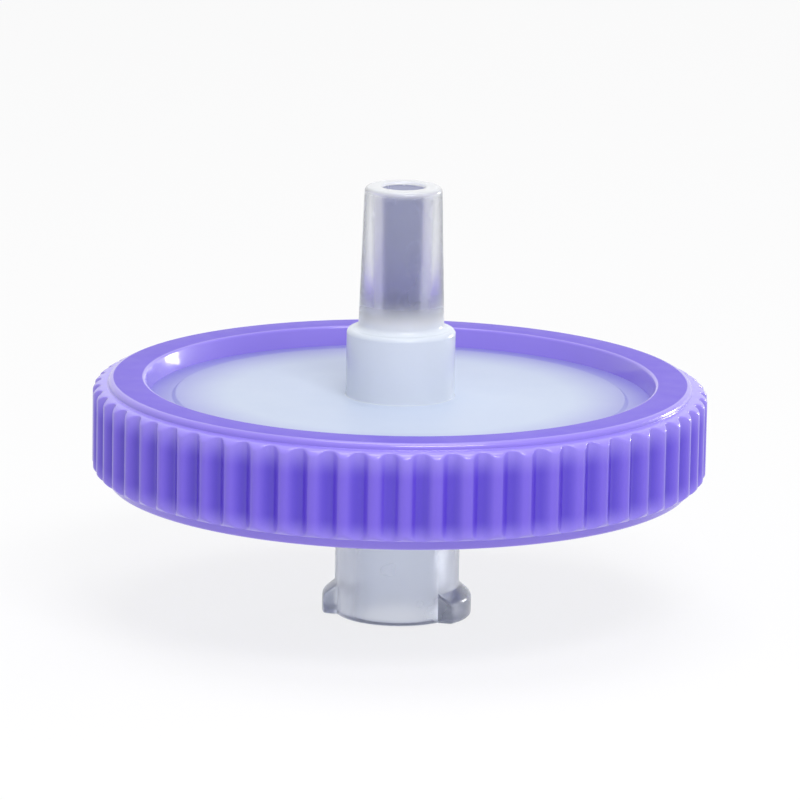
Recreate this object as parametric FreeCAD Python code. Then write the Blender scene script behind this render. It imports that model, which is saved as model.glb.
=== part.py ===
"""Syringe filter, 25 mm membrane: two luer housings, a membrane and a moulded grip ring.

The filter stands on the mouth of its inlet hub. The origin is at the centre of that
mouth, +Z runs up the axis to the tip of the outlet nozzle, and lengths are millimetres.
"""

import FreeCAD, Part
import math
import os

Vector = FreeCAD.Vector
AXIS = Vector(0, 0, 1)
ORIGIN = Vector(0, 0, 0)

# Membrane disc
MEMBRANE_RADIUS = 12.5
MEMBRANE_THICKNESS = 0.2
MEMBRANE_CLEARANCE = 0.1
CLAMP_WIDTH = 2.2

# Housing halves: rim, plates and chambers
WELD_LAND_WIDTH = 1.7
INLET_PLATE_THICKNESS = 1.35
OUTLET_PLATE_THICKNESS = 1.6
INLET_CHAMBER_DEPTH = 0.5
OUTLET_CHAMBER_DEPTH = 0.6
OUTLET_BAND_WIDTH = 1.35
RAISED_FIELD_HEIGHT = 0.15
FLOW_HOLE_RADIUS = 0.9

# Luer taper: 6 % on the diameter
LUER_TAPER = 0.06

# Inlet hub: socket, wall and two lugs
HUB_LENGTH = 7.05
SOCKET_MOUTH_RADIUS = 2.15
SOCKET_FLOOR_THICKNESS = 1.2
SOCKET_MOUTH_CHAMFER = 0.15
HUB_WALL = 1.1
HUB_ROOT_CHAMFER = 0.3
LUG_REACH = 0.65
LUG_WIDTH = 3.5
LUG_TIP_HEIGHT = 1.05
LUG_ROOT_HEIGHT = 1.6

# Outlet nozzle and the collar that carries it
NOZZLE_LENGTH = 7.5
NOZZLE_TIP_RADIUS = 2.01
NOZZLE_TIP_WALL = 0.9
NOZZLE_TIP_CHAMFER = 0.25
NOZZLE_ROOT_CHAMFER = 0.3
BORE_ROOT_RADIUS = 0.9
COLLAR_HEIGHT = 3.55
COLLAR_SHOULDER = 0.6
COLLAR_CHAMFER = 0.2

# Membrane supports inside the chambers
SUPPORT_RIB_WIDTH = 0.3
SUPPORT_RING_PITCH = 0.6
SUPPORT_RING_CLEARANCE = 3.9
SUPPORT_CHANNEL_COUNT = 8
SUPPORT_CHANNEL_WIDTH = 0.9
RADIAL_RIB_COUNT = 32
RADIAL_RIB_WIDTH = 0.3
LONG_RIB_CLEARANCE = 2.5
SHORT_RIB_SETBACK = 2.4
RIB_END_GAP = 0.3
RIB_TO_MEMBRANE = 0.1

# Grip ring, moulded round the rims of both halves
INLET_RECESS = 1.3
OUTLET_RECESS = 1.0
INLET_GRIP = 1.85
OUTLET_GRIP = 1.25
INLET_OPENING_DRAFT = 0.45
OUTLET_OPENING_DRAFT = 0.25
RING_WALL = 1.3
LIP_SETBACK = 0.4
INLET_STEP = 0.5
OUTLET_STEP = 0.35
INLET_SHOULDER_CHAMFER = 0.45
OUTLET_SHOULDER_CHAMFER = 0.4
KNURL_RIB_COUNT = 64
KNURL_DEPTH = 0.4

SMALL_CHAMFER = 0.1
OVERLAP = 0.3

# Radii that follow from the sizes above
POCKET_RADIUS = MEMBRANE_RADIUS + MEMBRANE_CLEARANCE
CHAMBER_RADIUS = MEMBRANE_RADIUS - CLAMP_WIDTH
RIM_RADIUS = POCKET_RADIUS + WELD_LAND_WIDTH
GROOVE_RADIUS = RIM_RADIUS + RING_WALL
RING_RADIUS = GROOVE_RADIUS + KNURL_DEPTH
LIP_RADIUS = GROOVE_RADIUS - LIP_SETBACK
OUTLET_OPENING_RADIUS = RIM_RADIUS - OUTLET_GRIP
INLET_OPENING_RADIUS = RIM_RADIUS - INLET_GRIP
RAISED_FIELD_RADIUS = OUTLET_OPENING_RADIUS - OUTLET_BAND_WIDTH
HUB_RADIUS = SOCKET_MOUTH_RADIUS + HUB_WALL
LUG_RADIUS = HUB_RADIUS + LUG_REACH

# Heights above the mouth of the hub
RING_BOTTOM = HUB_LENGTH
INLET_FACE = RING_BOTTOM + INLET_RECESS
MEMBRANE_SEAT = INLET_FACE + INLET_PLATE_THICKNESS
PARTING = MEMBRANE_SEAT + MEMBRANE_THICKNESS
OUTLET_FACE = PARTING + OUTLET_PLATE_THICKNESS
RING_TOP = OUTLET_FACE + OUTLET_RECESS
CHAMBER_FLOOR = MEMBRANE_SEAT - INLET_CHAMBER_DEPTH
CHAMBER_CEILING = PARTING + OUTLET_CHAMBER_DEPTH
SOCKET_END = CHAMBER_FLOOR - SOCKET_FLOOR_THICKNESS
RAISED_FIELD = OUTLET_FACE + RAISED_FIELD_HEIGHT
COLLAR_TOP = RAISED_FIELD + COLLAR_HEIGHT
NOZZLE_TIP = COLLAR_TOP + NOZZLE_LENGTH

# Radii that follow from the taper
SOCKET_END_RADIUS = SOCKET_MOUTH_RADIUS - SOCKET_END * LUER_TAPER / 2
NOZZLE_BASE_RADIUS = NOZZLE_TIP_RADIUS + NOZZLE_LENGTH * LUER_TAPER / 2
BORE_TIP_RADIUS = NOZZLE_TIP_RADIUS - NOZZLE_TIP_WALL
COLLAR_RADIUS = NOZZLE_BASE_RADIUS + COLLAR_SHOULDER


def turned(corners):
    """Solid of revolution about Z from (radius, height, chamfer) corners of its half section.

    A chamfer cuts its corner back by that length along both of the sides that meet there.
    """
    points = [Vector(radius, 0, height) for radius, height, _ in corners]
    outline = []
    for index, corner in enumerate(points):
        chamfer = corners[index][2]
        if chamfer == 0:
            outline.append(corner)
            continue
        for neighbour in (points[index - 1], points[(index + 1) % len(points)]):
            outline.append(corner + (neighbour - corner).normalize() * chamfer)
    face = Part.Face(Part.makePolygon(outline + outline[:1]))
    return face.revolve(ORIGIN, AXIS, 360)


def tube(inner_radius, outer_radius, bottom, top):
    """Plain ring of rectangular section."""
    return turned([
        (inner_radius, bottom, 0),
        (outer_radius, bottom, 0),
        (outer_radius, top, 0),
        (inner_radius, top, 0),
    ])


def radial_bar(start_radius, end_radius, width, bottom, top, angle):
    """Straight bar that points away from the axis at the given angle in degrees."""
    corner = Vector(start_radius, -width / 2, bottom)
    bar = Part.makeBox(end_radius - start_radius, width, top - bottom, corner)
    return bar.rotate(ORIGIN, AXIS, angle)


def knurled_blank():
    """Straight prism whose outline is a wave of tangent crest and groove arcs."""
    pitch = 2 * math.pi / KNURL_RIB_COUNT
    middle_radius = (GROOVE_RADIUS + RING_RADIUS) / 2

    def rim_point(radius, angle):
        return Vector(radius * math.cos(angle), radius * math.sin(angle), RING_BOTTOM)

    edges = []
    for rib in range(KNURL_RIB_COUNT):
        crest = rib * pitch
        before = rim_point(middle_radius, crest - pitch / 4)
        between = rim_point(middle_radius, crest + pitch / 4)
        after = rim_point(middle_radius, crest + pitch * 3 / 4)
        edges.append(Part.Arc(before, rim_point(RING_RADIUS, crest), between).toShape())
        edges.append(Part.Arc(between, rim_point(GROOVE_RADIUS, crest + pitch / 2), after).toShape())
    outline = Part.Face(Part.Wire(edges))
    return outline.extrude(AXIS * (RING_TOP - RING_BOTTOM))


def support_rings():
    """Concentric ribs under the outlet plate, broken by radial flow channels."""
    rings = []
    radius = BORE_ROOT_RADIUS + SUPPORT_RING_CLEARANCE
    while radius + SUPPORT_RIB_WIDTH < CHAMBER_RADIUS - RIB_END_GAP:
        rings.append(tube(radius, radius + SUPPORT_RIB_WIDTH, PARTING, CHAMBER_CEILING + OVERLAP))
        radius += SUPPORT_RING_PITCH
    channels = [
        radial_bar(0, CHAMBER_RADIUS, SUPPORT_CHANNEL_WIDTH, PARTING - OVERLAP, CHAMBER_CEILING,
                   channel * 360 / SUPPORT_CHANNEL_COUNT)
        for channel in range(SUPPORT_CHANNEL_COUNT)
    ]
    return [ring.cut(channels) for ring in rings]


def radial_ribs():
    """Long and short ribs in turn on the floor of the inlet chamber."""
    long_start = FLOW_HOLE_RADIUS + LONG_RIB_CLEARANCE
    ribs = []
    for rib in range(RADIAL_RIB_COUNT):
        start = long_start + SHORT_RIB_SETBACK * (rib % 2)
        ribs.append(radial_bar(start, CHAMBER_RADIUS - RIB_END_GAP, RADIAL_RIB_WIDTH,
                               CHAMBER_FLOOR - OVERLAP, MEMBRANE_SEAT - RIB_TO_MEMBRANE,
                               rib * 360 / RADIAL_RIB_COUNT))
    return ribs


def lugs():
    """Two opposite luer-lock lugs, flush with the mouth of the hub and sloped on top."""
    collar = turned([
        (HUB_RADIUS - OVERLAP, 0, 0),
        (LUG_RADIUS, 0, SMALL_CHAMFER),
        (LUG_RADIUS, LUG_TIP_HEIGHT, SMALL_CHAMFER),
        (HUB_RADIUS, LUG_ROOT_HEIGHT, 0),
        (HUB_RADIUS - OVERLAP, LUG_ROOT_HEIGHT, 0),
    ])
    corner = Vector(-LUG_RADIUS, -LUG_WIDTH / 2, 0)
    return collar.common(Part.makeBox(2 * LUG_RADIUS, LUG_WIDTH, LUG_ROOT_HEIGHT, corner))


def inlet_housing():
    """Lower half: luer-lock hub, plate, ribbed chamber floor and membrane pocket."""
    body = turned([
        (SOCKET_END_RADIUS, SOCKET_END, 0),
        (SOCKET_MOUTH_RADIUS, 0, SOCKET_MOUTH_CHAMFER),
        (HUB_RADIUS, 0, SMALL_CHAMFER),
        (HUB_RADIUS, INLET_FACE, HUB_ROOT_CHAMFER),
        (RIM_RADIUS, INLET_FACE, 0),
        (RIM_RADIUS, PARTING, 0),
        (POCKET_RADIUS, PARTING, 0),
        (POCKET_RADIUS, MEMBRANE_SEAT, 0),
        (CHAMBER_RADIUS, MEMBRANE_SEAT, 0),
        (CHAMBER_RADIUS, CHAMBER_FLOOR, 0),
        (FLOW_HOLE_RADIUS, CHAMBER_FLOOR, 0),
        (FLOW_HOLE_RADIUS, SOCKET_END, 0),
    ])
    return body.fuse([lugs()] + radial_ribs()).removeSplitter()


def outlet_housing():
    """Upper half: plate with a raised field, support rings, collar and luer-slip nozzle."""
    body = turned([
        (BORE_ROOT_RADIUS, CHAMBER_CEILING, 0),
        (CHAMBER_RADIUS, CHAMBER_CEILING, 0),
        (CHAMBER_RADIUS, PARTING, 0),
        (RIM_RADIUS, PARTING, 0),
        (RIM_RADIUS, OUTLET_FACE, 0),
        (RAISED_FIELD_RADIUS + RAISED_FIELD_HEIGHT, OUTLET_FACE, 0),
        (RAISED_FIELD_RADIUS, RAISED_FIELD, 0),
        (COLLAR_RADIUS, RAISED_FIELD, COLLAR_CHAMFER),
        (COLLAR_RADIUS, COLLAR_TOP, COLLAR_CHAMFER),
        (NOZZLE_BASE_RADIUS, COLLAR_TOP, NOZZLE_ROOT_CHAMFER),
        (NOZZLE_TIP_RADIUS, NOZZLE_TIP, NOZZLE_TIP_CHAMFER),
        (BORE_TIP_RADIUS, NOZZLE_TIP, 0),
    ])
    return body.fuse(support_rings()).removeSplitter()


def membrane():
    """Flat filter disc, clamped at its edge between the two halves."""
    base = Vector(0, 0, MEMBRANE_SEAT)
    return Part.makeCylinder(MEMBRANE_RADIUS, MEMBRANE_THICKNESS, base, AXIS)


def sealing_ring():
    """Grip ring round both rims: a lip on each face, sloped shoulders and a knurled side."""
    shoulder_radius = RING_RADIUS + SMALL_CHAMFER
    section = turned([
        (OUTLET_OPENING_RADIUS, OUTLET_FACE, 0),
        (OUTLET_OPENING_RADIUS + OUTLET_OPENING_DRAFT, RING_TOP, 0),
        (LIP_RADIUS, RING_TOP, 0),
        (LIP_RADIUS, RING_TOP - OUTLET_STEP, 0),
        (shoulder_radius, RING_TOP - OUTLET_STEP, OUTLET_SHOULDER_CHAMFER),
        (shoulder_radius, RING_BOTTOM + INLET_STEP, INLET_SHOULDER_CHAMFER),
        (LIP_RADIUS, RING_BOTTOM + INLET_STEP, 0),
        (LIP_RADIUS, RING_BOTTOM, 0),
        (INLET_OPENING_RADIUS + INLET_OPENING_DRAFT, RING_BOTTOM, 0),
        (INLET_OPENING_RADIUS, INLET_FACE, 0),
        (RIM_RADIUS, INLET_FACE, 0),
        (RIM_RADIUS, OUTLET_FACE, 0),
    ])
    return section.common(knurled_blank())


PIECES = {
    "inlet_housing": inlet_housing,
    "outlet_housing": outlet_housing,
    "membrane": membrane,
    "sealing_ring": sealing_ring,
}

os.makedirs("parts", exist_ok=True)
for name, build in PIECES.items():
    build().exportStep("parts/" + name + ".step")
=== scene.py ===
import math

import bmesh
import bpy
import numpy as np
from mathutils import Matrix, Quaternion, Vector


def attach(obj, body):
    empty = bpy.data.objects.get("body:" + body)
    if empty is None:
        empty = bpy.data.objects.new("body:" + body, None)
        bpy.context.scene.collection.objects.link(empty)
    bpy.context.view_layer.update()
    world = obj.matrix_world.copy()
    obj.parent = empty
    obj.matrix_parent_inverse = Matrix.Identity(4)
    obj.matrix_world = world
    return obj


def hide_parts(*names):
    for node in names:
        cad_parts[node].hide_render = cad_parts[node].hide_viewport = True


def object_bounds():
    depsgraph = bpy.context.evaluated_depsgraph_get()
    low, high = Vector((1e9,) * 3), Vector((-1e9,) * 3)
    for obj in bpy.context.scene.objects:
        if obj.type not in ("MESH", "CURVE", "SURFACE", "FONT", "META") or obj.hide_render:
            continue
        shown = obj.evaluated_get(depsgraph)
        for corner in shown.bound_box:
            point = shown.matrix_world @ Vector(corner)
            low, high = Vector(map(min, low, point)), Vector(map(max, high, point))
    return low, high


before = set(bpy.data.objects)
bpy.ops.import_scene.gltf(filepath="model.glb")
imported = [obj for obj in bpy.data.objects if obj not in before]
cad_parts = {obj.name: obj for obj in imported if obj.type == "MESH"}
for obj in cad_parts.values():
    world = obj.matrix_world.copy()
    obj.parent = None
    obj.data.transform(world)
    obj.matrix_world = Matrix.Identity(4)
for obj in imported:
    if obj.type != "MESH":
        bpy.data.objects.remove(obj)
cad_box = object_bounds()

# Looks of the syringe filter: grip ring, two translucent housing halves and membrane.
#
# Sizes are in millimetres, as in the part's source, and become metres in the meshes. The
# filter stands on the mouth of its inlet hub, and +Z runs up its axis.

MM = 0.001

# Sizes repeated from the part's source
MEMBRANE_RADIUS = 12.5
POCKET_RADIUS = 12.6
CHAMBER_RADIUS = 10.3
RIM_RADIUS = 14.3
GROOVE_RADIUS = 15.6
RING_RADIUS = 16.0
LIP_RADIUS = 15.2
OUTLET_OPENING_RADIUS = 13.05
OUTLET_OPENING_DRAFT = 0.25
INLET_OPENING_RADIUS = 12.45
INLET_OPENING_DRAFT = 0.45
RAISED_FIELD_RADIUS = 11.7
HUB_RADIUS = 3.25
LUG_RADIUS = 3.9
LUG_HALF_WIDTH = 1.75
LUG_TIP_HEIGHT = 1.05
LUG_ROOT_HEIGHT = 1.6
FLOW_HOLE_RADIUS = 0.9
SOCKET_MOUTH_RADIUS = 2.15
SOCKET_END_RADIUS = 1.91
SOCKET_END = 8.0
NOZZLE_TIP_RADIUS = 2.01
NOZZLE_BASE_RADIUS = 2.235
COLLAR_RADIUS = 2.835
BORE_TIP_RADIUS = 1.11
BORE_ROOT_RADIUS = 0.9
RING_BOTTOM = 7.05
INLET_FACE = 8.35
CHAMBER_FLOOR = 9.2
MEMBRANE_SEAT = 9.7
PARTING = 9.9
CHAMBER_CEILING = 10.5
OUTLET_FACE = 11.5
RAISED_FIELD = 11.65
RING_TOP = 12.5
COLLAR_TOP = 15.2
NOZZLE_TIP = 22.7
INLET_STEP = 0.5
OUTLET_STEP = 0.35
SHOULDER_RADIUS = 16.1
KNURL_RIBS = 64
SUPPORT_RING_FIRST = 4.8
SUPPORT_RING_COUNT = 9
SUPPORT_RING_PITCH = 0.6
SUPPORT_RIB_WIDTH = 0.3
CHANNELS = 8
CHANNEL_WIDTH = 0.9
RADIAL_RIBS = 32
RADIAL_RIB_WIDTH = 0.3
RADIAL_RIB_TOP = 9.6
LONG_RIB_START = 3.4
SHORT_RIB_START = 5.8
RIB_END = 10.0

# Roundings, where the source has chamfers or sharp edges
INLET_SHOULDER = 0.7
OUTLET_SHOULDER = 0.65
SHOULDER_BLEND = 0.06
KNURL_ROUNDNESS = 1.25
RIB_END_EDGE = 0.08
LEDGE_FILLET = 0.06
UPPER_LIP_FILLET = 0.27
LOWER_LIP_FILLET = 0.14
OPENING_FILLET = 0.16
CHAMBER_FILLET = 0.1
SEAT_FILLET = 0.08
RAISED_FIELD_SLOPE = 0.18
RAISED_FIELD_FILLET = 0.1
COLLAR_FOOT_FILLET = 0.05
COLLAR_TOP_FILLET = 0.27
NOZZLE_ROOT_FILLET = 0.32
NOZZLE_TIP_FILLET = 0.28
BORE_MOUTH_FILLET = 0.15
BORE_ROOT_FILLET = 0.15
HUB_ROOT_FILLET = 0.35
SOCKET_MOUTH_FILLET = 0.18
SOCKET_END_FILLET = 0.2
FLOW_HOLE_FILLET = 0.1
HUB_MOUTH_FILLET = 0.1
MEMBRANE_FILLET = ((0.08, 0), (0.02, 0.03), (0, 0.09))

# Fineness of the meshes
COLUMNS_PER_RIB = 20
RING_COLUMNS = KNURL_RIBS * COLUMNS_PER_RIB
HOUSING_COLUMNS = 256
CHANNEL_HALF_COLUMNS = 2
FILLET_STEPS = 5
HUB_MOUTH_STEPS = 3
SHOULDER_STEPS = (0, 0.02, 0.05, 0.08, 0.13, 0.2, 0.28, 0.37, 0.47, 0.58, 0.7)
RIB_EDGE = 0.03

# How far pieces that touch run into each other, or each half stands back at their weld
CONTACT = 0.01

# Radii and heights of the plain rows between two features
CENTRE_ROW = 1.6
CHAMBER_ROW = 3.0
MEMBRANE_ROWS = (3.0, 7.0)
LONG_RIB_MIDDLE = 4.6
SHORT_RIB_MIDDLE = 7.9
HUB_MOUTH_ROW = 2.7
HUB_SIDE_ROW = LUG_ROOT_HEIGHT + 0.15
BORE_FINISH_END = COLLAR_TOP + 0.45

# Columns down one side wall of a lug: column, share of the lug's reach, loss of half width
LUG_WALL = (
    (18, 1.0, 0.12),
    (19, 0.96, 0.03),
    (20, 0.84, 0),
    (21, 0.56, 0),
    (22, 0.28, 0),
    (23, 0.0, 0),
)
# Rows down the slope of a lug: share of its reach. Then its tip: share and depth below it
LUG_SLOPE = (0.06, 0.5, 0.84)
LUG_TIP_EDGE = ((0.96, 0.03), (1.0, 0.14))


def arc_corner(before, corner, after, fillet, steps):
    """Points of the fillet at one corner of a section, as (radius, height) pairs."""
    if fillet <= 0:
        return [tuple(corner)]
    corner = Vector(corner)
    back = (Vector(before) - corner).normalized()
    ahead = (Vector(after) - corner).normalized()
    half = back.angle(ahead) / 2
    centre = corner + (back + ahead).normalized() * (fillet / math.sin(half))
    start = corner + back * (fillet / math.tan(half)) - centre
    end = corner + ahead * (fillet / math.tan(half)) - centre
    sweep = start.angle(end)
    points = []
    for step in range(steps + 1):
        t = step / steps
        arm = start * math.sin((1 - t) * sweep) + end * math.sin(t * sweep)
        points.append(tuple(centre + arm / math.sin(sweep)))
    return points


def section(corners):
    """Closed section outline from (radius, height, fillet) corners."""
    outline = []
    count = len(corners)
    for index, (radius, height, fillet) in enumerate(corners):
        before = corners[index - 1][:2]
        after = corners[(index + 1) % count][:2]
        outline += arc_corner(before, (radius, height), after, fillet, FILLET_STEPS)
    return outline


def uniform_angles(columns):
    return np.arange(columns) * (2 * math.pi / columns)


def ring_of(radii, angles, heights):
    """One row of mesh points, in metres, from its columns' radii, angles and heights."""
    radii = np.broadcast_to(radii, angles.shape)
    heights = np.broadcast_to(heights, angles.shape)
    return np.stack([radii * np.cos(angles), radii * np.sin(angles), heights], axis=1) * MM


def turned_rows(outline, angles):
    """Plain rows of a solid of revolution from the points of its section."""
    return [ring_of(radius, angles, height) for radius, height in outline]


def smooth_by_angle(mesh, degrees):
    """Smooth shading, with a sharp edge wherever two faces meet at more than the angle."""
    work = bmesh.new()
    work.from_mesh(mesh)
    bmesh.ops.recalc_face_normals(work, faces=work.faces)
    limit = math.radians(degrees)
    for face in work.faces:
        face.smooth = True
    for edge in work.edges:
        edge.smooth = edge.calc_face_angle(0) < limit
    work.to_mesh(mesh)
    work.free()


def add_piece(name, points, faces, smooth_angle):
    mesh = bpy.data.meshes.new(name)
    mesh.from_pydata(points.tolist(), [], faces)
    mesh.validate()
    smooth_by_angle(mesh, smooth_angle)
    piece = bpy.data.objects.new(name, mesh)
    bpy.context.scene.collection.objects.link(piece)
    return piece


def woven_piece(name, bands, smooth_angle):
    """Closed piece from (finish, rows) bands: each row is a loop, and the last meets the first.

    A finish is the number of the material slot that the band's faces take.
    """
    rows = [row for _, band in bands for row in band]
    finishes = [finish for finish, band in bands for _ in band]
    count, columns = len(rows), len(rows[0])
    faces = []
    for row in range(count):
        here, there = row * columns, (row + 1) % count * columns
        for column in range(columns):
            beside = (column + 1) % columns
            faces.append((here + column, here + beside, there + beside, there + column))
    piece = add_piece(name, np.concatenate(rows), faces, smooth_angle)
    piece.data.polygons.foreach_set("material_index", np.repeat(finishes, columns))
    return piece


# ---------------------------------------------------------------- grip ring

# Material slots of the ring
PLAIN, GRIP, LIP = range(3)


def knurl_wave(angles):
    """Radius of the ribbed edge: round crests and round grooves."""
    phase = np.cos(angles * KNURL_RIBS)
    swell = np.sign(phase) * (1 - (1 - np.abs(phase)) ** KNURL_ROUNDNESS)
    return GROOVE_RADIUS + (RING_RADIUS - GROOVE_RADIUS) * (swell + 1) / 2


def soft_min(a, b, blend):
    """Lower of two values, with the change from one to the other rounded."""
    h = np.clip(0.5 + 0.5 * (b - a) / blend, 0, 1)
    return b + (a - b) * h - blend * h * (1 - h)


def quarter_round(distance, fillet):
    """How far an edge's rounding draws a side in, at a distance from the edge's end."""
    near = max(fillet - distance, 0)
    return fillet - math.sqrt(fillet * fillet - near * near)


def side_rows(angles):
    """Rows up the ribbed side, from the lower ledge to the upper one."""
    bottom = RING_BOTTOM + INLET_STEP
    top = RING_TOP - OUTLET_STEP
    wave = knurl_wave(angles)

    def row(distance, shoulder, height):
        """One row at a distance from the nearer end of the ribs."""
        limit = SHOULDER_RADIUS - quarter_round(distance, shoulder)
        radii = soft_min(wave, limit, SHOULDER_BLEND) - quarter_round(distance, RIB_END_EDGE)
        return ring_of(np.minimum(radii, wave), angles, height)

    middle = (bottom + top) / 2
    rows = [row(step, INLET_SHOULDER, bottom + step) for step in SHOULDER_STEPS]
    rows.append(row(middle - bottom, INLET_SHOULDER, middle))
    rows += [row(step, OUTLET_SHOULDER, top - step) for step in reversed(SHOULDER_STEPS)]
    return rows


def grip_ring():
    angles = uniform_angles(RING_COLUMNS)
    ledge = GROOVE_RADIUS - RIB_END_EDGE
    outline = section([
        (ledge, RING_TOP - OUTLET_STEP, 0),
        (LIP_RADIUS, RING_TOP - OUTLET_STEP, LEDGE_FILLET),
        (LIP_RADIUS, RING_TOP, UPPER_LIP_FILLET),
        (OUTLET_OPENING_RADIUS + OUTLET_OPENING_DRAFT, RING_TOP, OPENING_FILLET),
        (OUTLET_OPENING_RADIUS, OUTLET_FACE - CONTACT, 0),
        (RIM_RADIUS - CONTACT, OUTLET_FACE - CONTACT, 0),
        (RIM_RADIUS - CONTACT, INLET_FACE + CONTACT, 0),
        (INLET_OPENING_RADIUS, INLET_FACE + CONTACT, 0),
        (INLET_OPENING_RADIUS + INLET_OPENING_DRAFT, RING_BOTTOM, OPENING_FILLET),
        (LIP_RADIUS, RING_BOTTOM, LOWER_LIP_FILLET),
        (LIP_RADIUS, RING_BOTTOM + INLET_STEP, LEDGE_FILLET),
        (ledge, RING_BOTTOM + INLET_STEP, 0),
    ])
    lip = [point for point in outline if point[1] == RING_TOP]
    outer = outline[1:outline.index(lip[0])]
    inner = outline[outline.index(lip[-1]):-1]
    return woven_piece("grip_ring", [
        (GRIP, side_rows(angles)),
        (PLAIN, turned_rows(outer, angles)),
        (LIP, turned_rows(lip[:-1], angles)),
        (PLAIN, turned_rows(inner, angles)),
    ], smooth_angle=50)


# ---------------------------------------------------------------- outlet half

# Material slots of both halves
PLATE, CHAMBER, BORE, NOZZLE, HUB = range(5)


def channel_angles(radius):
    """Column angles that follow the straight sides of the flow channels at one radius."""
    per = HOUSING_COLUMNS // CHANNELS
    pitch = 2 * math.pi / CHANNELS
    floor_edge = math.asin((CHANNEL_WIDTH / 2 - RIB_EDGE) / radius)
    rib_edge = math.asin((CHANNEL_WIDTH / 2 + RIB_EDGE) / radius)
    angles = np.empty(HOUSING_COLUMNS)
    for column in range(HOUSING_COLUMNS):
        sector, place = divmod(column + per // 2, per)
        place -= per // 2
        size = abs(place)
        if size <= CHANNEL_HALF_COLUMNS:
            offset = floor_edge * size / CHANNEL_HALF_COLUMNS
        else:
            first = CHANNEL_HALF_COLUMNS + 1
            offset = rib_edge + (pitch / 2 - rib_edge) * (size - first) / (per / 2 - first)
        angles[column] = sector * pitch + math.copysign(offset, place)
    return angles


def channel_columns():
    """Which columns lie on a channel's floor."""
    per = HOUSING_COLUMNS // CHANNELS
    place = (np.arange(HOUSING_COLUMNS) + per // 2) % per - per // 2
    return np.abs(place) <= CHANNEL_HALF_COLUMNS


def ceiling_rows():
    """Rows along the chamber's ceiling and its concentric support rings, outwards."""
    in_channel = channel_columns()
    rows = []
    for index in range(SUPPORT_RING_COUNT):
        inner = SUPPORT_RING_FIRST + index * SUPPORT_RING_PITCH
        outer = inner + SUPPORT_RIB_WIDTH
        for radius, height in (
            (inner - RIB_EDGE, CHAMBER_CEILING),
            (inner + RIB_EDGE, PARTING),
            (outer - RIB_EDGE, PARTING),
            (outer + RIB_EDGE, CHAMBER_CEILING),
        ):
            heights = np.where(in_channel, CHAMBER_CEILING, height)
            rows.append(ring_of(radius, channel_angles(radius), heights))
    return rows


def bore_radius(height):
    """Radius of the outlet's conical bore at one height."""
    share = (height - CHAMBER_CEILING) / (NOZZLE_TIP - CHAMBER_CEILING)
    return BORE_ROOT_RADIUS + (BORE_TIP_RADIUS - BORE_ROOT_RADIUS) * share


def outlet_half():
    angles = uniform_angles(HOUSING_COLUMNS)
    outside = section([
        (CHAMBER_RADIUS, CHAMBER_CEILING, CHAMBER_FILLET),
        (CHAMBER_RADIUS, PARTING, 0),
        (POCKET_RADIUS, PARTING, 0),
        (POCKET_RADIUS, PARTING + CONTACT, 0),
        (RIM_RADIUS, PARTING + CONTACT, 0),
        (RIM_RADIUS, OUTLET_FACE, 0),
        (RAISED_FIELD_RADIUS + RAISED_FIELD_SLOPE, OUTLET_FACE, RAISED_FIELD_FILLET),
        (RAISED_FIELD_RADIUS, RAISED_FIELD, RAISED_FIELD_FILLET),
        (COLLAR_RADIUS, RAISED_FIELD, COLLAR_FOOT_FILLET),
        (COLLAR_RADIUS, COLLAR_TOP, COLLAR_TOP_FILLET),
        (NOZZLE_BASE_RADIUS, COLLAR_TOP, NOZZLE_ROOT_FILLET),
        (NOZZLE_TIP_RADIUS, NOZZLE_TIP, NOZZLE_TIP_FILLET),
        (BORE_TIP_RADIUS, NOZZLE_TIP, BORE_MOUTH_FILLET),
        (BORE_ROOT_RADIUS, CHAMBER_CEILING, 0),
    ])[:-1]
    root = section([
        (BORE_TIP_RADIUS, NOZZLE_TIP, 0),
        (BORE_ROOT_RADIUS, CHAMBER_CEILING, BORE_ROOT_FILLET),
        (CHAMBER_ROW, CHAMBER_CEILING, 0),
    ])[1:-1]
    plate = [point for point in outside if point[1] <= RAISED_FIELD]
    nozzle = [point for point in outside[:-1] if point[1] > RAISED_FIELD]
    root.insert(0, (bore_radius(BORE_FINISH_END), BORE_FINISH_END))
    centre = [(CENTRE_ROW, CHAMBER_CEILING), (CHAMBER_ROW, CHAMBER_CEILING)]
    return woven_piece("outlet_half", [
        (CHAMBER, turned_rows(centre, angles)),
        (CHAMBER, ceiling_rows()),
        (PLATE, turned_rows(plate, angles)),
        (NOZZLE, turned_rows(nozzle, angles)),
        (BORE, turned_rows(outside[-1:], angles)),
        (CHAMBER, turned_rows(root, angles)),
    ], smooth_angle=35)


# ---------------------------------------------------------------- inlet half

def radial_rib_angles(radius):
    """Column angles that follow the straight sides of the radial ribs at one radius."""
    per = HOUSING_COLUMNS // RADIAL_RIBS
    pitch = 2 * math.pi / RADIAL_RIBS
    top_edge = math.asin((RADIAL_RIB_WIDTH / 2 - RIB_EDGE) / radius)
    foot = math.asin((RADIAL_RIB_WIDTH / 2 + RIB_EDGE) / radius)
    offsets = (0, top_edge, foot, (foot + pitch / 2) / 2, pitch / 2)
    angles = np.empty(HOUSING_COLUMNS)
    for column in range(HOUSING_COLUMNS):
        rib, place = divmod(column + per // 2, per)
        place -= per // 2
        angles[column] = rib * pitch + math.copysign(offsets[abs(place)], place)
    return angles


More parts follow.
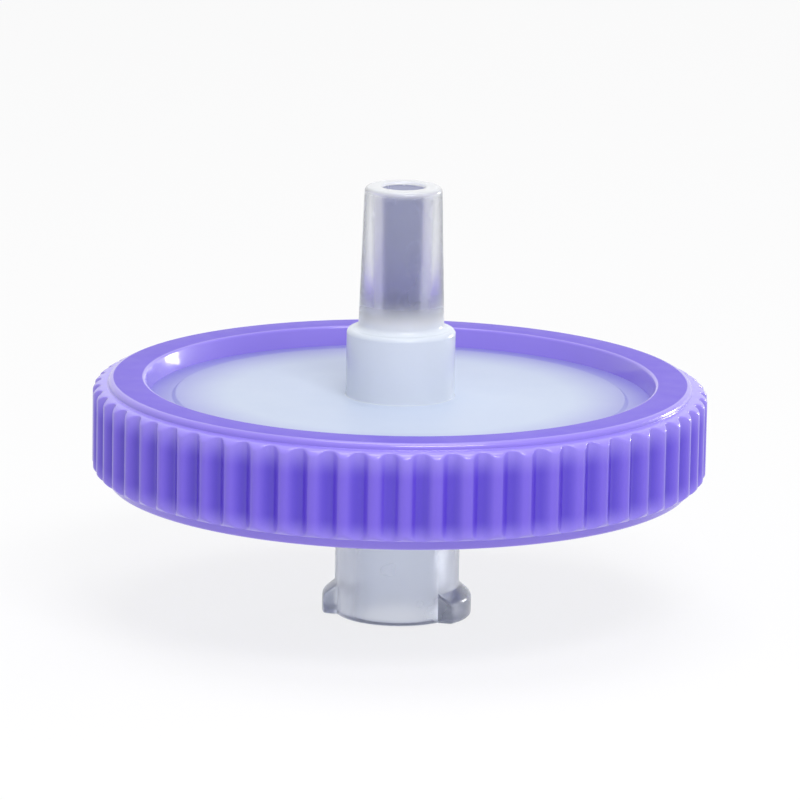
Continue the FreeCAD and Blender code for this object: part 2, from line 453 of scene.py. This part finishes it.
def floor_rows():
    """Rows along the chamber's floor and its radial ribs, outwards."""
    per = HOUSING_COLUMNS // RADIAL_RIBS
    shifted = np.arange(HOUSING_COLUMNS) + per // 2
    on_rib = np.abs(shifted % per - per // 2) <= 1
    is_long = (shifted // per) % RADIAL_RIBS % 2 == 0
    start = np.where(is_long, LONG_RIB_START, SHORT_RIB_START)
    rows = []
    for radius in (
        LONG_RIB_START - RIB_EDGE, LONG_RIB_START + RIB_EDGE, LONG_RIB_MIDDLE,
        SHORT_RIB_START - RIB_EDGE, SHORT_RIB_START + RIB_EDGE, SHORT_RIB_MIDDLE,
        RIB_END - RIB_EDGE, RIB_END + RIB_EDGE,
    ):
        raised = on_rib & (radius > start) & (radius < RIB_END)
        heights = np.where(raised, RADIAL_RIB_TOP, CHAMBER_FLOOR)
        rows.append(ring_of(radius, radial_rib_angles(radius), heights))
    return rows


def lug_row(inset, share, height):
    """Row round the hub and its two lugs: inset from the edge, with that share of their reach."""
    hub = HUB_RADIUS - inset
    reach = (LUG_RADIUS - HUB_RADIUS) * share
    radii = np.full(HOUSING_COLUMNS, hub)
    angles = uniform_angles(HOUSING_COLUMNS)
    first, _, narrowing = LUG_WALL[0]
    edge = math.asin((LUG_HALF_WIDTH - narrowing - inset) / (hub + reach))
    for lug in range(2):
        middle = lug * HOUSING_COLUMNS // 2
        for place, part, narrowing in LUG_WALL:
            radius = hub + reach * part
            angle = math.asin((LUG_HALF_WIDTH - narrowing - inset) / radius)
            for side in (1, -1):
                column = (middle + side * place) % HOUSING_COLUMNS
                radii[column] = radius
                angles[column] = lug * math.pi + side * angle
        for place in range(-first + 1, first):
            column = (middle + place) % HOUSING_COLUMNS
            radii[column] = hub + reach
            angles[column] = lug * math.pi + edge * place / first
    return ring_of(radii, angles, height)


def lug_rows():
    """Rows down the hub past its lugs and round the outer edge of its mouth."""
    slope = LUG_ROOT_HEIGHT - LUG_TIP_HEIGHT
    rows = [lug_row(0, share, LUG_ROOT_HEIGHT - slope * share) for share in LUG_SLOPE]
    rows += [lug_row(0, share, LUG_TIP_HEIGHT - depth) for share, depth in LUG_TIP_EDGE]
    fillet = HUB_MOUTH_FILLET
    for step in range(HUB_MOUTH_STEPS + 1):
        turn = math.pi / 2 * step / HUB_MOUTH_STEPS
        rows.append(lug_row(fillet * (1 - math.cos(turn)), 1.0, fillet * (1 - math.sin(turn))))
    return rows


def inlet_half():
    angles = uniform_angles(HOUSING_COLUMNS)
    outside = section([
        (CENTRE_ROW, CHAMBER_FLOOR, 0),
        (CHAMBER_RADIUS, CHAMBER_FLOOR, CHAMBER_FILLET),
        (CHAMBER_RADIUS, MEMBRANE_SEAT, SEAT_FILLET),
        (POCKET_RADIUS, MEMBRANE_SEAT, 0),
        (POCKET_RADIUS, PARTING - CONTACT, 0),
        (RIM_RADIUS, PARTING - CONTACT, 0),
        (RIM_RADIUS, INLET_FACE, 0),
        (HUB_RADIUS, INLET_FACE, HUB_ROOT_FILLET),
        (HUB_RADIUS, HUB_SIDE_ROW, 0),
        (HUB_RADIUS, 0, 0),
    ])[:-1]
    inside = section([
        (HUB_MOUTH_ROW, 0, 0),
        (SOCKET_MOUTH_RADIUS, 0, SOCKET_MOUTH_FILLET),
        (SOCKET_END_RADIUS, SOCKET_END, SOCKET_END_FILLET),
        (FLOW_HOLE_RADIUS, SOCKET_END, FLOW_HOLE_FILLET),
        (FLOW_HOLE_RADIUS, CHAMBER_FLOOR, FLOW_HOLE_FILLET),
        (CENTRE_ROW, CHAMBER_FLOOR, 0),
    ])[1:-1]
    plate = [point for point in outside[1:] if point[1] >= INLET_FACE]
    hub = [point for point in outside[1:] if point[1] < INLET_FACE]
    return woven_piece("inlet_half", [
        (CHAMBER, turned_rows(outside[:1], angles)),
        (CHAMBER, floor_rows()),
        (PLATE, turned_rows(plate, angles)),
        (HUB, turned_rows(hub, angles)),
        (HUB, lug_rows()),
        (CHAMBER, turned_rows(inside, angles)),
    ], smooth_angle=35)


# ---------------------------------------------------------------- membrane

def filter_disc():
    """Flat disc with a rounded edge, closed by a fan of triangles at each centre."""
    angles = uniform_angles(HOUSING_COLUMNS)
    low, high = MEMBRANE_SEAT - CONTACT, PARTING + CONTACT
    edge = [(MEMBRANE_RADIUS - inset, depth) for inset, depth in MEMBRANE_FILLET]
    upper = [(radius, high) for radius in MEMBRANE_ROWS]
    upper += [(radius, high - depth) for radius, depth in edge]
    lower = [(radius, low + depth) for radius, depth in reversed(edge)]
    lower += [(radius, low) for radius in reversed(MEMBRANE_ROWS)]
    rows = turned_rows(upper + lower, angles)
    points = np.concatenate(rows + [np.array([[0, 0, high], [0, 0, low]]) * MM])
    columns = len(angles)
    faces = []
    for column in range(columns):
        beside = (column + 1) % columns
        for row in range(len(rows) - 1):
            here, there = row * columns, (row + 1) * columns
            faces.append((here + column, here + beside, there + beside, there + column))
        last = (len(rows) - 1) * columns
        faces.append((len(points) - 2, beside, column))
        faces.append((len(points) - 1, last + column, last + beside))
    return add_piece("filter_disc", points, faces, smooth_angle=40)


# ---------------------------------------------------------------- materials

# Pairs of display colours between which each finish drifts
PURPLE = (0.545, 0.465, 0.90), (0.565, 0.485, 0.915)
RIB_PURPLE = (0.437, 0.338, 0.87), (0.452, 0.35, 0.885)
# Painted shade: the deeper purple between the ribs
GROOVE_PAINTED_SHADE_PURPLE = (0.3, 0.182, 0.788), (0.318, 0.197, 0.805)
# Painted light: the lighter purple at the ribs' upper and lower ends
RIB_END_PAINTED_LIGHT_PURPLE = (0.60, 0.53, 0.94), (0.61, 0.54, 0.95)
# Painted shade: the ring's top lip is a darker copy of the ring's purple, offsetting the light
# that falls on it from above
LIP_PAINTED_SHADE_PURPLE = (0.42, 0.335, 0.815), (0.435, 0.35, 0.83)
PLATE_WHITE = (0.803, 0.85, 0.94), (0.813, 0.86, 0.945)
# Painted reflection and painted shade: the purple of the ring's inner wall seen in the plate's
# rim
PLATE_RIM_PAINTED_REFLECTION_PURPLE = (0.53, 0.51, 0.85), (0.55, 0.53, 0.865)
CHAMBER_WHITE = (0.95, 0.965, 0.99), (0.96, 0.975, 0.995)
# Painted shade: the grey-blue of the bore stands in for the dark surroundings seen through the
# nozzle's centre
BORE_PAINTED_SHADE_GREY = (0.575, 0.59, 0.735), (0.595, 0.61, 0.755)
NOZZLE_WHITE = (0.957, 0.965, 0.978), (0.967, 0.974, 0.984)
COLLAR_WHITE = (0.91, 0.943, 0.988), (0.92, 0.95, 0.991)
HUB_WHITE = (0.92, 0.94, 0.985), (0.935, 0.95, 0.988)
MEMBRANE_WHITE = (0.93, 0.94, 0.96), (0.975, 0.98, 0.99)
FLOOR_WHITE = (0.955, 0.955, 0.96), (0.965, 0.965, 0.97)

POLYPROPYLENE_IOR = 1.49
NOISE_MIDDLE = (0.3, 0.7)


def linear(srgb):
    """Scene-linear colour from display values between 0 and 1."""
    return [c / 12.92 if c <= 0.04045 else ((c + 0.055) / 1.055) ** 2.4 for c in srgb]


class Nodes:
    """Node tree of one new material, with a few shorthands for building it."""

    def __init__(self, name):
        self.material = bpy.data.materials.new(name)
        self.material.use_nodes = True
        self.tree = self.material.node_tree
        self.shader = self.tree.nodes["Principled BSDF"]
        self.place = self.add("ShaderNodeTexCoord").outputs["Object"]

    def add(self, kind, **settings):
        node = self.tree.nodes.new(kind)
        for key, value in settings.items():
            setattr(node, key, value)
        return node

    def link(self, source, target):
        self.tree.links.new(source, target)

    def drive(self, name, source):
        """Links a value or colour to one of the shader's sockets."""
        self.link(source, self.shader.inputs[name])

    def set(self, **values):
        """Sets the shader's own sockets, with _ for a space in a name."""
        for key, value in values.items():
            self.shader.inputs[key.replace("_", " ")].default_value = value

    def noise(self, scale, detail, roughness=0.5):
        """Noise with that many cells in a metre."""
        node = self.add("ShaderNodeTexNoise")
        node.inputs["Scale"].default_value = scale
        node.inputs["Detail"].default_value = detail
        node.inputs["Roughness"].default_value = roughness
        self.link(self.place, node.inputs["Vector"])
        return node.outputs["Fac"]

    def ramp(self, source, start, end, low=0, high=1, **settings):
        """Low at one value of the source and high at the other."""
        node = self.add("ShaderNodeMapRange", **settings)
        node.inputs["From Min"].default_value = start
        node.inputs["From Max"].default_value = end
        node.inputs["To Min"].default_value = low
        node.inputs["To Max"].default_value = high
        self.link(source, node.inputs["Value"])
        return node.outputs["Result"]

    def spread(self, source, low=0, high=1):
        """Maps the middle range of a noise to the range from low to high."""
        return self.ramp(source, *NOISE_MIDDLE, low, high)

    def from_axis(self, near, far):
        """0 at one distance from the filter's axis and 1 at the other, in millimetres."""
        flat = self.add("ShaderNodeVectorMath", operation="MULTIPLY")
        self.link(self.place, flat.inputs[0])
        flat.inputs[1].default_value = (1, 1, 0)
        length = self.add("ShaderNodeVectorMath", operation="LENGTH")
        self.link(flat.outputs["Vector"], length.inputs[0])
        return self.ramp(length.outputs["Value"], near * MM, far * MM)

    def along_height(self, first, last):
        """0 at one height and 1 at the other, in millimetres, with soft ends."""
        split = self.add("ShaderNodeSeparateXYZ")
        self.link(self.place, split.inputs["Vector"])
        return self.ramp(split.outputs["Z"], first * MM, last * MM,
                         interpolation_type="SMOOTHSTEP")

    def math(self, operation, first, second):
        """Result of the operation on a source and another source or a number."""
        node = self.add("ShaderNodeMath", operation=operation)
        self.link(first, node.inputs[0])
        if isinstance(second, (int, float)):
            node.inputs[1].default_value = second
        else:
            self.link(second, node.inputs[1])
        return node.outputs[0]

    def tint(self, factor, colours):
        """Drifts between a pair of display colours."""
        node = self.add("ShaderNodeMix", data_type="RGBA")
        self.link(factor, node.inputs["Factor"])
        for socket, colour in zip(("A", "B"), colours):
            node.inputs[socket].default_value = (*linear(colour), 1)
        return node.outputs["Result"]

    def between(self, factor, first, second):
        """Mixes two colours that are themselves made by nodes."""
        node = self.add("ShaderNodeMix", data_type="RGBA")
        self.link(factor, node.inputs["Factor"])
        self.link(first, node.inputs["A"])
        self.link(second, node.inputs["B"])
        return node.outputs["Result"]

    def bump(self, source, strength, distance):
        node = self.add("ShaderNodeBump")
        node.inputs["Strength"].default_value = strength
        node.inputs["Distance"].default_value = distance
        self.link(source, node.inputs["Height"])
        self.drive("Normal", node.outputs["Normal"])


def purple_plastic(name, colours, gloss, coat):
    """Opaque moulded polypropylene, with its range of roughness and the weight of its coat."""
    n = Nodes(name)
    n.flow = n.spread(n.noise(scale=160, detail=2))
    n.colour = n.tint(n.flow, colours)
    n.drive("Base Color", n.colour)
    n.drive("Roughness", n.spread(n.noise(scale=900, detail=3), *gloss))
    n.bump(n.noise(scale=1200, detail=2), strength=0.05, distance=0.02 * MM)
    n.set(Coat_Weight=coat, Coat_Roughness=0.1, IOR=POLYPROPYLENE_IOR)
    return n


def grip_plastic():
    """Painted shade and painted light: the purple is deeper between the ribs, where shade falls,
    and lighter at the thin ends of the ribs, where light from above and from the floor falls.
    """
    n = purple_plastic("purple_grip_painted_shade_and_light", RIB_PURPLE, gloss=(0.32, 0.38), coat=0.6)
    # Painted shade: the grooves get a deeper purple than the ribs' crests
    on_rib = n.from_axis(GROOVE_RADIUS + 0.02, RING_RADIUS - 0.04)
    # Painted light: the ribs turn lighter towards their lower and upper ends
    lower_end_painted_light = n.along_height(RING_BOTTOM + 1.6, RING_BOTTOM + 0.2)
    upper_end_painted_light = n.along_height(RING_TOP - 1.8, RING_TOP - 0.1)
    ribbed = n.between(on_rib, n.tint(n.flow, GROOVE_PAINTED_SHADE_PURPLE), n.colour)
    # light is the painted light colour of the ribs' ends
    light = n.tint(n.flow, RIB_END_PAINTED_LIGHT_PURPLE)
    n.drive("Base Color", n.between(n.math("MAXIMUM", lower_end_painted_light, upper_end_painted_light), ribbed, light))
    return n


def polypropylene(name, colours, gloss, clear):
    """Natural polypropylene, with its range of roughness and its clearness."""
    n = Nodes(name)
    n.colour = n.tint(n.spread(n.noise(scale=220, detail=3)), colours)
    n.drive("Base Color", n.colour)
    n.drive("Roughness", n.spread(n.noise(scale=500, detail=2), *gloss))
    n.set(Transmission_Weight=clear, IOR=POLYPROPYLENE_IOR)
    return n


def plate_plastic():
    """Painted reflection and painted shade: towards its rim, a plate turns to a darker purple,
    standing in for the ring's inner wall reflected in it and the shade in the corner where they
    meet.
    """
    n = polypropylene("plate_plastic", PLATE_WHITE, gloss=(0.4, 0.46), clear=0.15)
    purple = n.tint(n.noise(scale=160, detail=2), PLATE_RIM_PAINTED_REFLECTION_PURPLE)
    # Painted reflection: the purple grows towards the opening in the ring
    painted_reflection_reach = n.math("POWER", n.from_axis(8.8, OUTLET_OPENING_RADIUS), 1.3)
    n.drive("Base Color", n.between(painted_reflection_reach, n.colour, purple))
    return n


def nozzle_plastic():
    """The nozzle is clearest half way up, and milky in its collar, thick root and cut tip."""
    milky, clearest = 0.15, 0.92
    n = polypropylene("nozzle_plastic", NOZZLE_WHITE, gloss=(0.2, 0.25), clear=clearest)
    collar = n.tint(n.noise(scale=160, detail=2), COLLAR_WHITE)
    above_collar = n.along_height(COLLAR_TOP - 0.1, COLLAR_TOP + 0.8)
    n.drive("Base Color", n.between(above_collar, collar, n.colour))
    above_root = n.along_height(COLLAR_TOP, COLLAR_TOP + 2)
    below_tip = n.along_height(NOZZLE_TIP + 0.15, NOZZLE_TIP - 0.5)
    middle = n.math("MULTIPLY", above_root, below_tip)
    n.drive("Transmission Weight", n.ramp(middle, 0, 1, milky, clearest))
    return n


def membrane_film():
    """White microporous film: matt, with a fine fibrous grain."""
    n = Nodes("membrane_film")
    fibre = n.noise(scale=5200, detail=6, roughness=0.65)
    n.drive("Base Color", n.tint(n.spread(fibre), MEMBRANE_WHITE))
    n.drive("Roughness", n.spread(n.noise(scale=1500, detail=2), 0.65, 0.8))
    n.bump(fibre, strength=0.25, distance=0.03 * MM)
    return n


# In the order of the material slots
purple_finishes = [
    purple_plastic("purple_plastic", PURPLE, gloss=(0.32, 0.38), coat=0.8),
    grip_plastic(),
    # Painted shade: darker purple on the top lip
    purple_plastic("purple_lip_painted_shade", LIP_PAINTED_SHADE_PURPLE, gloss=(0.5, 0.58), coat=0.1),
]
housing_finishes = [
    plate_plastic(),
    polypropylene("chamber_plastic", CHAMBER_WHITE, gloss=(0.35, 0.45), clear=1.0),
    # Painted shade: grey-blue bore that darkens the nozzle's core
    polypropylene("bore_plastic_painted_shade", BORE_PAINTED_SHADE_GREY, gloss=(0.2, 0.3), clear=0.8),
    nozzle_plastic(),
    polypropylene("hub_plastic", HUB_WHITE, gloss=(0.2, 0.28), clear=0.77),
]
for piece, node, slot, finishes in (
    (grip_ring(), "sealing_ring", "purple_ring", purple_finishes),
    (outlet_half(), "outlet_housing", "translucent_housing", housing_finishes),
    (inlet_half(), "inlet_housing", "translucent_housing", housing_finishes),
    (filter_disc(), "membrane", "membrane", [membrane_film()]),
):
    for finish in finishes:
        piece.data.materials.append(finish.material)
    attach(piece, "root")
    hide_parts(node)
    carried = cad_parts[node].data.materials
    carried.clear()
    carried.append(finishes[0].material)


# ---------------------------------------------------------------- floor, light and camera

# Metres, and shares of full white
FLOOR_REACH = 3.0
FLOOR_LEVEL = -0.02 * MM
FLOOR_GLOW = 0.8
WORLD_LEVEL = 0.5


def white_rays(tree):
    """1 for the rays that only look at the surroundings: camera, gloss and clear plastic."""
    path = tree.nodes.new("ShaderNodeLightPath")
    seen = path.outputs["Is Camera Ray"]
    for kind in ("Is Glossy Ray", "Is Transmission Ray"):
        either = tree.nodes.new("ShaderNodeMath")
        either.operation = "MAXIMUM"
        tree.links.new(seen, either.inputs[0])
        tree.links.new(path.outputs[kind], either.inputs[1])
        seen = either.outputs[0]
    return seen


def floor_material():
    """Pale matt floor that looks half lit from within, so that it keeps a light shadow."""
    n = Nodes("studio_floor")
    n.drive("Base Color", n.tint(n.noise(scale=30, detail=3), FLOOR_WHITE))
    n.set(Roughness=0.9, Specular_IOR_Level=0.1)
    glow = n.add("ShaderNodeEmission")
    mix = n.add("ShaderNodeMixShader")
    n.link(n.math("MULTIPLY", white_rays(n.tree), FLOOR_GLOW), mix.inputs["Fac"])
    n.link(n.shader.outputs["BSDF"], mix.inputs[1])
    n.link(glow.outputs["Emission"], mix.inputs[2])
    n.link(mix.outputs["Shader"], n.tree.nodes["Material Output"].inputs["Surface"])
    return n.material


def studio_floor():
    """Square floor, a hair below the hub's mouth so that their faces don't coincide."""
    mesh = bpy.data.meshes.new("studio_floor")
    corners = [
        (FLOOR_REACH * x, FLOOR_REACH * y, FLOOR_LEVEL)
        for x, y in ((-1, -1), (1, -1), (1, 1), (-1, 1))
    ]
    mesh.from_pydata(corners, [], [(0, 1, 2, 3)])
    floor = bpy.data.objects.new("studio_floor", mesh)
    bpy.context.scene.collection.objects.link(floor)
    mesh.materials.append(floor_material())


def studio_world():
    """Even pale surroundings, white where the camera, a gloss or clear plastic sees them."""
    world = bpy.data.worlds.new("studio")
    bpy.context.scene.world = world
    world.use_nodes = True
    tree = world.node_tree
    background = tree.nodes["Background"]
    background.inputs["Color"].default_value = (1, 1, 1, 1)
    level = tree.nodes.new("ShaderNodeMapRange")
    level.inputs["To Min"].default_value = WORLD_LEVEL
    level.inputs["To Max"].default_value = 1.0
    tree.links.new(white_rays(tree), level.inputs["Value"])
    tree.links.new(level.outputs["Result"], background.inputs["Strength"])


def area_light(name, place, target, size, power):
    """Rectangular lamp that faces the target: metres and watts."""
    data = bpy.data.lights.new(name, "AREA")
    data.shape = "RECTANGLE"
    data.size, data.size_y = size
    data.energy = power
    lamp = bpy.data.objects.new(name, data)
    bpy.context.scene.collection.objects.link(lamp)
    lamp.location = place
    lamp.rotation_euler = (Vector(target) - Vector(place)).to_track_quat("-Z", "Y").to_euler()


def camera_at(azimuth, elevation, roll, distance, lens, target):
    """Camera that looks at the target from that side, turned by the roll about its own axis."""
    a, e = math.radians(azimuth), math.radians(elevation)
    away = Vector((math.sin(a) * math.cos(e), -math.cos(a) * math.cos(e), math.sin(e)))
    data = bpy.data.cameras.new("camera")
    data.lens = lens
    data.clip_start, data.clip_end = 0.01, 20
    camera = bpy.data.objects.new("camera", data)
    bpy.context.scene.collection.objects.link(camera)
    camera.location = Vector(target) + away * distance
    turn = (-away).to_track_quat("-Z", "Y") @ Quaternion((0, 0, 1), math.radians(roll))
    camera.rotation_euler = turn.to_euler()
    bpy.context.scene.camera = camera


studio_floor()
studio_world()
middle = (cad_box[0] + cad_box[1]) / 2
camera_at(azimuth=15.6, elevation=12.6, roll=1.0, distance=0.33, lens=285, target=middle)
front_top = middle + Vector((0.37, -0.53, 0.76)) * 0.2
back_right = middle + Vector((0.565, 0.801, 0.12)) * 0.5
area_light("overhead", (-0.01, 0.06, 0.55), middle, size=(0.3, 0.3), power=0.9)
area_light("front_top", front_top, middle, size=(0.1, 0.05), power=0.178)
area_light("back_right", back_right, middle, size=(0.1, 0.12), power=0.5)

view = bpy.context.scene.view_settings
view.view_transform = "Standard"
